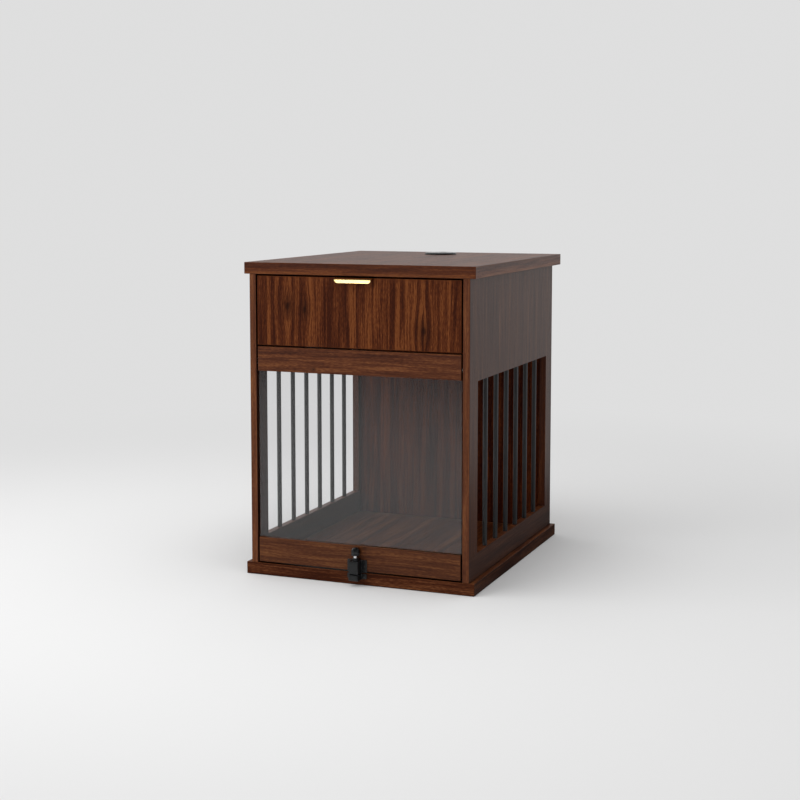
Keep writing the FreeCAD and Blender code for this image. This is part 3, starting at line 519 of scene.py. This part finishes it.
def addPiece(name, grids, finish, body, replaced, sharpAngle=38.0):
    corners, quads, start = [], [], 0
    for grid in grids:
        rows, columns = grid.shape[:2]
        index = np.arange(rows * columns).reshape(rows, columns) + start
        quads.append(np.stack([index[:-1, :-1], index[:-1, 1:], index[1:, 1:], index[1:, :-1]], -1).reshape(-1, 4))
        corners.append(grid.reshape(-1, 3))
        start += rows * columns
    mesh = bpy.data.meshes.new(name)
    mesh.from_pydata(np.concatenate(corners).tolist(), [], np.concatenate(quads).tolist())
    work = bmesh.new()
    work.from_mesh(mesh)
    bmesh.ops.remove_doubles(work, verts=work.verts, dist=1e-6)
    bmesh.ops.dissolve_degenerate(work, dist=1e-7, edges=work.edges)
    bmesh.ops.recalc_face_normals(work, faces=work.faces)
    work.to_mesh(mesh)
    work.free()
    mesh.shade_smooth()
    mesh.set_sharp_from_angle(angle=math.radians(sharpAngle))
    mesh.materials.append(materials[finish])
    piece = bpy.data.objects.new(name, mesh)
    bpy.context.scene.collection.objects.link(piece)
    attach(piece, body)
    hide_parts(*replaced)
    return piece


def turned(profile, middleX, middleY, steps=48):
    # each point of the profile (radius, height) goes round the vertical line through the middle:
    # x = middleX + radius cos(angle), y = middleY + radius sin(angle), z = height
    radius, height = np.array(profile, float).T
    angle = np.linspace(0, 2 * np.pi, steps + 1)
    return np.stack([middleX + np.outer(radius, np.cos(angle)), middleY + np.outer(radius, np.sin(angle)),
                     np.repeat(height[:, None], steps + 1, 1)], -1)


def loopStack(loops, axis="z", cornerSteps=7):
    # a loop is a rectangle with round corners, (middle u, middle v, half u, half v, corner radius, level);
    # a corner is an arc round a centre set in by the radius, and a circle is a loop whose halves are its radius
    middleU, middleV, halfU, halfV, corner, level = np.array(loops, float).T[:, :, None]
    quarter = np.linspace(0, np.pi / 2, cornerSteps)
    angle = np.concatenate([quarter + k * np.pi / 2 for k in range(4)] + [[2 * np.pi]])
    signU = np.repeat([1, -1, -1, 1], cornerSteps)
    signV = np.repeat([1, 1, -1, -1], cornerSteps)
    signU, signV = np.append(signU, 1), np.append(signV, 1)
    u = middleU + signU * (halfU - corner) + corner * np.cos(angle)
    v = middleV + signV * (halfV - corner) + corner * np.sin(angle)
    w = level + 0 * u
    return np.stack([u, v, w] if axis == "z" else [u, w, v], -1)


def roundedLine(corners, cut, steps=6):
    # the corners of a line give way to short curves: (1-t)^2 a + 2t(1-t) b + t^2 c, with a and c a cut away from b
    points = np.array(corners, float)
    t = np.linspace(0, 1, steps)[:, None]
    line = [points[:1]]
    for before, here, after, reach in zip(points[:-2], points[1:-1], points[2:], cut):
        a = here + (before - here) / np.linalg.norm(before - here) * reach
        c = here + (after - here) / np.linalg.norm(after - here) * reach
        line.append((1 - t) ** 2 * a + 2 * t * (1 - t) * here + t ** 2 * c)
    return np.concatenate(line + [points[-1:]])


def crossHead(middleX, faceY, middleZ, look, turn, steps=64):
    # a dome over a disc, height = rise (1 - (r/R)^2), less a cross: the depth where a point lies within half the
    # slot's width of either diameter and inside the cross's reach
    radius = np.linspace(1, 0, 26)[:, None] * look["radius"]
    angle = np.linspace(0, 2 * np.pi, steps + 1)[None]
    across, up = radius * np.cos(angle), radius * np.sin(angle)
    nearest = np.minimum(np.abs(radius * np.sin(angle - turn)), np.abs(radius * np.cos(angle - turn)))
    inCross = (nearest < look["slotWidth"] / 2) & (radius < look["slotReach"])
    height = look["rise"] * (1 - (radius / look["radius"]) ** 2) - look["slotDepth"] * inCross
    top = np.stack([middleX + across, faceY - height, middleZ + up], -1)
    skirt = top[:1] + np.array([0, look["sunk"], 0])
    return np.concatenate([skirt, top])


# Bars: six rods on each side, standing in sockets in the sill and the header of the window

bars = {"radius": 0.005, "count": 6, "end": 0.0004, "steps": 32}


def makeBars(side):
    low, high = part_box("side_bars_" + side)
    radius, end = bars["radius"], bars["end"]
    middleX = (low[0] + high[0]) / 2
    profile = [(0, low[2]), (radius - end, low[2]), (radius, low[2] + end), (radius, high[2] - end),
               (radius - end, high[2]), (0, high[2])]
    places = np.linspace(low[1] + radius, high[1] - radius, bars["count"])
    grids = [turned(profile, middleX, y, bars["steps"]) for y in places]
    addPiece("bars_" + side, grids, "blackBars", "cabinet", ["side_bars_" + side])


makeBars("left")
makeBars("right")
print("bars made")


# Drawer pull: one folded strip, a leg behind the drawer front, a flange over its edge and a lip with round corners

pull = {
    "thickness": 0.0015,
    "flangeFall": 0.004,     # the sloping part of the flange drops this much towards the lip
    "lipHeight": 0.0082,
    "cornerRadius": 0.0065,
    "bends": (0.0014, 0.003, 0.0009),
    "edge": 0.0003,
}


def makePull():
    low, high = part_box("drawer_pull")
    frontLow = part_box("drawer_front")[0]
    half = pull["thickness"] / 2
    middleX, halfWidth = (low[0] + high[0]) / 2, (high[0] - low[0]) / 2
    lipY, topZ, backY = low[1] + half, high[2] - half, high[1] - half
    bottomZ = high[2] - pull["flangeFall"] - pull["lipHeight"]
    corner = pull["cornerRadius"]
    corners = [(backY, low[2]), (backY, topZ), (frontLow[1], topZ), (lipY, topZ - pull["flangeFall"]),
               (lipY, bottomZ + corner)]
    line = roundedLine(corners, pull["bends"])
    fall = np.linspace(0, np.pi / 2, 9)[1:]  # the lip's last rows follow the corner's arc
    lip = np.stack([np.full(len(fall), lipY), bottomZ + corner * (1 - np.sin(fall))], 1)
    rows = np.concatenate([line, lip])
    width = np.concatenate([np.full(len(line), halfWidth), halfWidth - corner * (1 - np.cos(fall))])
    share = np.linspace(-1, 1, 33)
    grid = np.stack([middleX + np.outer(width, share), np.repeat(rows[:, :1], 33, 1),
                     np.repeat(rows[:, 1:], 33, 1)], -1)
    piece = addPiece("drawer_pull_strip", [grid], "brassPull", "drawer", ["drawer_pull"], 60.0)
    wall = piece.modifiers.new("wall", "SOLIDIFY")
    wall.thickness = pull["thickness"]
    wall.offset = 0.0
    wall.use_even_offset = True
    soft = piece.modifiers.new("edge", "BEVEL")
    soft.width = pull["edge"]
    soft.segments = 2
    soft.limit_method = "ANGLE"
    soft.angle_limit = math.radians(60)


makePull()
print("pull made")


# Latch: a block with a boss on top, both bored for the bolt, on a screwed flange; the keeper below is its small twin

latch = {
    "halfWidth": 0.011,
    "corner": 0.0016,
    "topEdge": 0.0018,
    "lowEdge": 0.0005,
    "boreRadius": 0.00405,
    "bossRadius": 0.0065,
    "bossHeight": 0.0045,
    "bossEdge": 0.0005,
    "flangeThickness": 0.0025,
    "flangeInset": 0.001,
    "flangeCorner": 0.0012,
    "axisY": -0.3125,
    "pocketHalf": 0.0048,
    "pocketDepth": 0.0105,
    "screwX": 0.0165,
}
screwHead = {"radius": 0.0027, "rise": 0.0006, "slotWidth": 0.0007, "slotReach": 0.0017, "slotDepth": 0.0005,
             "sunk": 0.0004}


def blockLoops(low, high, bodyTop, inside):
    # from the hole's floor up its wall, out over the top and down the sides to the underside
    width, depth = latch["halfWidth"], (high[1] - low[1]) / 2
    middleY = (high[1] + low[1]) / 2
    corner, top, foot = latch["corner"], latch["topEdge"], latch["lowEdge"]
    outer = [(0, middleY, width - top, depth - top, corner, bodyTop),
             (0, middleY, width - top * 0.3, depth - top * 0.3, corner, bodyTop - top * 0.3),
             (0, middleY, width, depth, corner, bodyTop - top),
             (0, middleY, width, depth, corner, low[2] + foot),
             (0, middleY, width - foot, depth - foot, corner, low[2])]
    return inside + outer


def flangeLoops(low, high, faceY):
    inset, thick, edge = latch["flangeInset"], latch["flangeThickness"], latch["lowEdge"]
    middleZ, halfX, halfZ = (low[2] + high[2]) / 2, (high[0] - low[0]) / 2, (high[2] - low[2]) / 2 - inset
    corner = latch["flangeCorner"]
    return [(0, middleZ, 0, 0, 0, faceY), (0, middleZ, halfX, halfZ, corner, faceY),
            (0, middleZ, halfX, halfZ, corner, faceY - thick + edge),
            (0, middleZ, halfX - edge, halfZ - edge, corner, faceY - thick),
            (0, middleZ, 0, 0, 0, faceY - thick)]


def makeLatch():
    low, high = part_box("latch_body")
    blockTop = high[2] - latch["bossHeight"]
    bore, boss, edge, axisY = latch["boreRadius"], latch["bossRadius"], latch["bossEdge"], latch["axisY"]
    inside = [(0, axisY, bore, bore, bore, low[2]), (0, axisY, bore, bore, bore, high[2]),
              (0, axisY, boss - edge, boss - edge, boss - edge, high[2]),
              (0, axisY, boss, boss, boss, high[2] - edge), (0, axisY, boss, boss, boss, blockTop)]
    loops = blockLoops(low, high, blockTop, inside)
    block = loopStack(loops + loops[:1])
    flange = loopStack(flangeLoops(low, (high[0], high[1], blockTop), high[1]), axis="y")
    addPiece("latch_block", [block, flange], "blackLatch", "door", ["latch_body"])
    faceY = high[1] - latch["flangeThickness"]
    middleZ = (low[2] + blockTop) / 2
    heads = [crossHead(side * latch["screwX"], faceY, middleZ, screwHead, 0.5 + side * 0.3) for side in (-1, 1)]
    addPiece("latch_screw_heads", heads, "blackScrews", "door", ["latch_screws"], 30.0)


def makeKeeper():
    low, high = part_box("latch_keeper")
    half, axisY, floorZ = latch["pocketHalf"], latch["axisY"], high[2] - latch["pocketDepth"]
    inside = [(0, axisY, 0, 0, 0, floorZ), (0, axisY, half, half, 0, floorZ), (0, axisY, half, half, 0, high[2])]
    loops = blockLoops(low, high, high[2], inside)
    underside = (0, (low[1] + high[1]) / 2, 0, 0, 0, low[2])
    block = loopStack(loops + [underside])
    flange = loopStack(flangeLoops(low, high, high[1]), axis="y")
    addPiece("keeper_block", [block, flange], "blackLatch", "cabinet", ["latch_keeper"])
    faceY = high[1] - latch["flangeThickness"]
    middleZ = (low[2] + high[2]) / 2
    heads = [crossHead(side * latch["screwX"], faceY, middleZ, screwHead, 1.1 - side * 0.4) for side in (-1, 1)]
    addPiece("keeper_screw_heads", heads, "blackScrews", "cabinet", ["latch_keeper_screws"], 30.0)


knob = {
    "collar": 0.004,
    "groove": 0.001,
    "grooveDepth": 0.001,
    "shoulder": 0.005,
    "edge": 0.0005,
    "bolt": 0.004,
    "tip": 0.0008,
}


def makeKnob():
    low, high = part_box("latch_knob")
    radius, edge, bolt = (high[0] - low[0]) / 2, knob["edge"], knob["bolt"]
    base = low[2]
    collarTop = base + knob["collar"]
    grooveTop = collarTop + knob["groove"]
    shoulder = grooveTop + knob["shoulder"]
    rise = high[2] - shoulder
    ball = (radius ** 2 + rise ** 2) / (2 * rise)  # the dome is a cap of a sphere with this radius
    sweep = np.linspace(math.asin(radius / ball), 0, 12)
    dome = np.stack([ball * np.sin(sweep), high[2] - ball + ball * np.cos(sweep)], 1)
    neck = radius - knob["grooveDepth"]
    ring = [(0, base), (radius - edge, base), (radius, base + edge), (radius, collarTop - edge),
            (radius - edge, collarTop), (neck, collarTop), (neck, grooveTop), (radius - edge, grooveTop),
            (radius, grooveTop + edge), (radius, shoulder - edge)]
    profile = np.concatenate([np.array(ring), dome])
    addPiece("latch_knob_head", [turned(profile, 0, latch["axisY"])], "blackLatch", "latch_plunger",
             ["latch_knob"], 50.0)
    low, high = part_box("latch_bolt")
    rod = [(0, low[2]), (bolt - knob["tip"], low[2]), (bolt, low[2] + knob["tip"]), (bolt, high[2]), (0, high[2])]
    addPiece("latch_bolt_rod", [turned(rod, 0, latch["axisY"])], "boltSteel", "latch_plunger", ["latch_bolt"],
             30.0)


makeLatch()
makeKeeper()
makeKnob()
print("latch made")


# Cable grommet: the sleeve's whole section goes round its axis

grommet = {
    "axisY": 0.206,
    "tube": 0.030,
    "wall": 0.002,
    "ledge": 0.003,
    "ledgeThickness": 0.002,
    "capDepth": 0.00305,
    "flangeHeight": 0.0045,
    "round": 0.002,
}


def makeGrommet():
    low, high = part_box("grommet_sleeve")
    outer, tube, inner = (high[0] - low[0]) / 2, grommet["tube"], grommet["tube"] - grommet["wall"]
    ledge, ledgeTop = inner - grommet["ledge"], high[2] - grommet["capDepth"]
    ledgeLow = ledgeTop - grommet["ledgeThickness"]
    boardTop = high[2] - grommet["flangeHeight"]
    sweep = np.linspace(0, np.pi / 2, 8)
    rim = [(outer - grommet["round"] * (1 - math.cos(a)), high[2] - grommet["round"] * (1 - math.sin(a)))
           for a in sweep]
    profile = [(inner, low[2]), (tube, low[2]), (tube, boardTop), (outer, boardTop)] + rim + [
        (tube + 0.0004, high[2]), (tube, high[2] - 0.0004), (tube, ledgeTop), (ledge, ledgeTop), (ledge, ledgeLow),
        (inner, ledgeLow), (inner, low[2])]
    addPiece("grommet_ring", [turned(profile, 0, grommet["axisY"], 72)], "blackGrommet", "cabinet",
             ["grommet_sleeve"])


makeGrommet()
print("grommet made")


# Floor, air and lamps

stageLook = {
    "wall": 0.735,       # plain grey behind the table
    "floor": 0.79,
    "fadeStart": 0.75,   # metres from the table where the floor starts to turn into the wall
    "fadeEnd": 2.4,
    # glossNear, glossFar and glossShadow set the floor's painted reflection: its glow for glossy rays and the painted
    # shadow in it
    "glossNear": 0.75,   # what the pane and the boards mirror
    "glossBehind": 0.95,
    "glossHigh": 0.30,   # well above the horizon
    "glossFar": 0.03,
    "glossShadow": 0.15,  # of what the floor mirrors where the table shades it
    "softboxGloss": 4.5,
    "diffuseAir": 0.64,
    "floorRadius": 6.0,
    "floorDrop": 0.0004,   # keeps the floor just under the base board
    "nearEnd": 1.4,        # metres in front of the table where the mirrored floor starts to fade, and where it ends
    "farEnd": 3.4,
}
frontWay = (0.37, -0.93, 0.0)  # towards the camera, flat
# centre of the painted shadow in the floor's painted reflection
shadowSpot = (0.42, 0.3, 0.0)
softboxWay = (-0.398, -0.915, -0.062)  # where the brass and steel find a bright lamp


def makeFloor():
    material, tree, shader = newMaterial("paleFloor")
    place = tree.nodes.new("ShaderNodeTexCoord").outputs["Object"]
    rays = tree.nodes.new("ShaderNodeLightPath").outputs
    distance = vectorCalc(tree, "LENGTH", place)
    forward = vectorCalc(tree, "DOT_PRODUCT", place, frontWay)
    feed(tree, shader.inputs["Base Color"], [stageLook["floor"]] * 3 + [1.0])
    feed(tree, shader.inputs["Roughness"], remap(tree, noise(tree, place, 60.0, 3.0), 0.3, 0.7, 0.85, 0.95))
    feed(tree, shader.inputs["Specular IOR Level"], 0.1)
    wall = tree.nodes.new("ShaderNodeEmission")
    feed(tree, wall.inputs["Color"], [stageLook["wall"]] * 3 + [1.0])
    # painted reflection: for glossy rays the floor glows instead of being lit, fading further in front of the table
    # and darker round shadowSpot, a painted shadow of the table
    paintedReflection = tree.nodes.new("ShaderNodeEmission")
    feed(tree, paintedReflection.inputs["Color"], (1, 1, 1, 1))
    shadow = remap(tree, vectorCalc(tree, "DISTANCE", place, shadowSpot), 0.4, 0.9, stageLook["glossShadow"], 1.0)
    feed(tree, paintedReflection.inputs["Strength"], calc(tree, "MULTIPLY", shadow, remap(
        tree, forward, stageLook["nearEnd"], stageLook["farEnd"], stageLook["glossNear"], stageLook["glossFar"])))
    far = tree.nodes.new("ShaderNodeMixShader")
    feed(tree, far.inputs[0], remap(tree, distance, stageLook["fadeStart"], stageLook["fadeEnd"]))
    tree.links.new(shader.outputs[0], far.inputs[1])
    tree.links.new(wall.outputs[0], far.inputs[2])
    last = tree.nodes.new("ShaderNodeMixShader")
    feed(tree, last.inputs[0], calc(tree, "GREATER_THAN", rays["Is Glossy Ray"], rays["Is Transmission Ray"]))
    tree.links.new(far.outputs[0], last.inputs[1])
    tree.links.new(paintedReflection.outputs[0], last.inputs[2])
    tree.links.new(last.outputs[0], tree.nodes["Material Output"].inputs[0])
    radius, steps = stageLook["floorRadius"], 96
    angles = np.linspace(0, 2 * np.pi, steps, endpoint=False)
    rim = np.stack([radius * np.cos(angles), radius * np.sin(angles), np.full(steps, -stageLook["floorDrop"])], 1)
    mesh = bpy.data.meshes.new("floor")
    mesh.from_pydata(rim.tolist(), [], [list(range(steps))])
    mesh.materials.append(material)
    floor = bpy.data.objects.new("floor", mesh)
    bpy.context.scene.collection.objects.link(floor)


def makeAir():
    world = bpy.data.worlds.new("paleAir")
    world.use_nodes = True
    bpy.context.scene.world = world
    tree = world.node_tree
    way = tree.nodes.new("ShaderNodeTexCoord").outputs["Generated"]
    rays = tree.nodes.new("ShaderNodeLightPath").outputs
    behind = remap(tree, splitAxes(tree, way)[2], 0.3, 0.6, stageLook["glossBehind"], stageLook["glossHigh"])
    front = remap(tree, vectorCalc(tree, "DOT_PRODUCT", way, frontWay), -0.1, 0.75, behind, stageLook["glossFar"])
    softbox = remap(tree, vectorCalc(tree, "DISTANCE", way, softboxWay), 0.08, 0.2, stageLook["softboxGloss"], 0.0)
    front = calc(tree, "ADD", front, softbox)
    level = blendColors(tree, rays["Is Glossy Ray"], [stageLook["diffuseAir"]] * 3 + [1.0],
                        spread3(tree, front))
    seen = calc(tree, "MAXIMUM", rays["Is Camera Ray"], rays["Is Transmission Ray"])
    level = blendColors(tree, seen, level, [stageLook["wall"]] * 3 + [1.0])
    feed(tree, tree.nodes["Background"].inputs["Color"], level)
    feed(tree, tree.nodes["Background"].inputs["Strength"], 1.0)


lamps = {
    "key": {"place": (-1.6, -2.3, 1.95), "size": 2.4, "watts": 28.0},
    "side": {"place": (-2.9, -1.35, 1.45), "size": 1.2, "watts": 15.5},
    "top": {"place": (-0.1, -0.45, 3.4), "size": 2.8, "watts": 37.0},
}


def makeLamps():
    target = Vector((0, 0, 0.3))
    for name, look in lamps.items():
        data = bpy.data.lights.new(name, "AREA")
        data.shape = "DISK"
        data.size = look["size"]
        data.energy = look["watts"]
        lamp = bpy.data.objects.new(name, data)
        lamp.location = look["place"]
        lamp.rotation_euler = (target - lamp.location).to_track_quat("-Z", "Y").to_euler()
        lamp.visible_glossy = False  # what shines is the softbox in the air
        bpy.context.scene.collection.objects.link(lamp)


camera = {
    "place": (1.23513, -3.164, 0.83682),
    "azimuth": 21.6808,   # degrees round the table from its front
    "pitch": 5.6228,      # degrees below level
    "lens": 67.4418,      # on a sensor 36 wide
    "shift": -0.08,
}


def makeCamera():
    data = bpy.data.cameras.new("camera")
    data.lens = camera["lens"]
    data.sensor_width = 36.0
    data.shift_y = camera["shift"]
    data.clip_start, data.clip_end = 0.05, 60.0
    around, down = math.radians(camera["azimuth"]), math.radians(camera["pitch"])
    ahead = Vector((-math.sin(around) * math.cos(down), math.cos(around) * math.cos(down), -math.sin(down)))
    right = Vector((math.cos(around), math.sin(around), 0))
    above = right.cross(ahead)
    turn = Matrix((right, above, -ahead)).transposed().to_4x4()
    eye = bpy.data.objects.new("camera", data)
    eye.matrix_world = Matrix.Translation(camera["place"]) @ turn
    bpy.context.scene.collection.objects.link(eye)
    bpy.context.scene.camera = eye


makeFloor()
makeAir()
makeLamps()
makeCamera()
bpy.context.scene.view_settings.view_transform = "Standard"
print("stage made")
